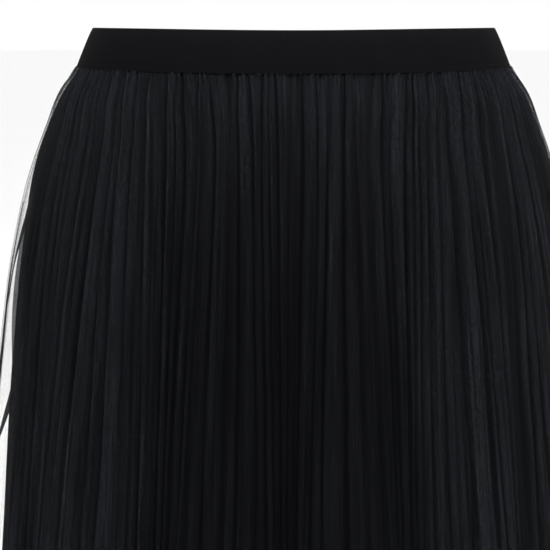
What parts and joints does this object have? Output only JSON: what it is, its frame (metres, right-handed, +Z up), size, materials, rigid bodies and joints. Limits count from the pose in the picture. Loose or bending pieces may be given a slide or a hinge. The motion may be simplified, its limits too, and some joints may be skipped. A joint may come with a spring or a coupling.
{
  "type": "maxi skirt",
  "caption": "Long black pleated tulle skirt over an opaque lining, gathered into a plain elastic waistband, hanging hollow as worn.",
  "frame": {"origin": "centre of the waistband, half way up the band, where the wearer's waist holds the skirt", "axes": "+Z up out of the waist, -Y towards the skirt's front, +X towards the right of the front as it is looked at"},
  "size_m": [0.657, 0.5893, 1],
  "materials": {
    "elastic": "matt black woven elastic",
    "tulle": "sheer black tulle net with pressed pleats and a faint cool sheen",
    "jersey": "soft opaque black lining jersey"
  },
  "bodies": {
    "root": {"waistband": "elastic", "overskirt_front": "tulle", "overskirt_back": "tulle", "lining_front": "jersey", "lining_back": "jersey"}
  },
  "joints": []
}
